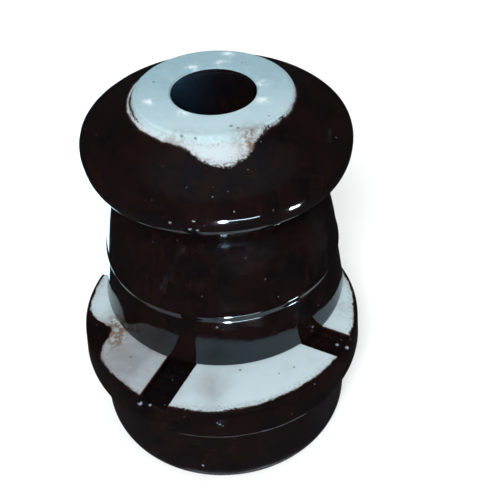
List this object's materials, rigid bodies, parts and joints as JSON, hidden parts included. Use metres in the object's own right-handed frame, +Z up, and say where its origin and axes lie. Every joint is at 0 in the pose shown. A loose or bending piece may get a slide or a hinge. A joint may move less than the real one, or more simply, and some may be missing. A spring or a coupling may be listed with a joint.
{
  "type": "porcelain bushing insulator set",
  "caption": "Brown-glazed mushroom-headed porcelain with a through bore, standing on a slotted round porcelain base.",
  "frame": {"origin": "middle of the footprint, on the surface that the lower porcelain stands on", "axes": "+Z up along both bores, -Y towards the side where the seating face shows most"},
  "size_m": [0.0824, 0.0896, 0.1019],
  "materials": {
    "brown_glaze": "high gloss near-black brown glaze over white porcelain, bare and matt on the top ring and the seating face"
  },
  "bodies": {
    "lower": {"lower_insulator": "brown_glaze"},
    "upper": {"upper_insulator": "brown_glaze"}
  },
  "joints": [
    {"name": "lift_off", "type": "slide", "parent": "lower", "child": "upper", "axis": [0, 0, 1], "range_m": [0, 0.06]}
  ]
}
